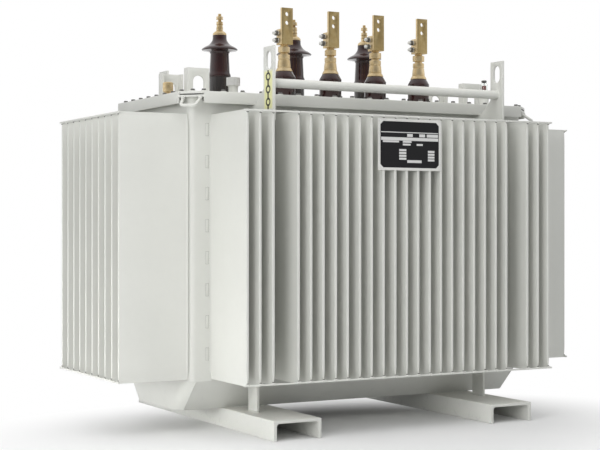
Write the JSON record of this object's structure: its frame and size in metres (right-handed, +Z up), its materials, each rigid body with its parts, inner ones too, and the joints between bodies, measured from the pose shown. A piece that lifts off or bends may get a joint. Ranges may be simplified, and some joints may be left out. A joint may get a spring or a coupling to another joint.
{
  "type": "sealed oil distribution transformer",
  "caption": "Oil-filled power transformer: corrugated tank with pinched fins on channel skids, flat bolted cover, porcelain bushings with brass terminals.",
  "frame": {"origin": "middle of the footprint on the floor, under the middle of the tank", "axes": "+X along the tank to the right seen from the low-voltage side, +Y from the low-voltage side to the high-voltage side, +Z up"},
  "size_m": [1.818, 1.106, 1.4275],
  "materials": {
    "tank_paint": "satin light grey paint",
    "porcelain": "gloss brown glazed porcelain",
    "brass": "satin brass",
    "zinc": "zinc-plated steel",
    "gasket_rubber": "matt black oil-proof rubber",
    "gauge_glass": "clear"
  },
  "bodies": {
    "root": {"skid_left": "tank_paint", "skid_right": "tank_paint", "tank_pan": "tank_paint", "tank_shell": "tank_paint", "top_frame": "tank_paint", "cover_gasket": "gasket_rubber", "cover_plate": "tank_paint", "fins_front": "tank_paint", "fins_rear": "tank_paint", "fins_left": "tank_paint", "fins_right": "tank_paint", "strap_front_left": "tank_paint", "bail_front_left": "tank_paint", "bracket_front_left": "tank_paint", "strap_front_right": "tank_paint", "bail_front_right": "tank_paint", "bracket_front_right": "tank_paint", "strap_rear_left": "tank_paint", "bail_rear_left": "tank_paint", "bracket_rear_left": "tank_paint", "strap_rear_right": "tank_paint", "bail_rear_right": "tank_paint", "bracket_rear_right": "tank_paint", "guard_tube": "tank_paint", "hv_insulator_1": "porcelain", "hv_terminal_1": "brass", "hv_insulator_2": "porcelain", "hv_terminal_2": "brass", "hv_insulator_3": "porcelain", "hv_terminal_3": "brass", "hv_clamps": "zinc", "lv_insulator_1": "porcelain", "lv_terminal_1": "brass", "lv_insulator_2": "porcelain", "lv_terminal_2": "brass", "lv_insulator_3": "porcelain", "lv_terminal_3": "brass", "lv_insulator_4": "porcelain", "lv_terminal_4": "brass", "thermometer_pocket": "brass", "filler_neck": "tank_paint", "filler_cap": "zinc", "gauge_base": "tank_paint", "gauge_glass": "gauge_glass", "gauge_cap": "zinc", "plate_carrier": "zinc"}
  },
  "joints": []
}
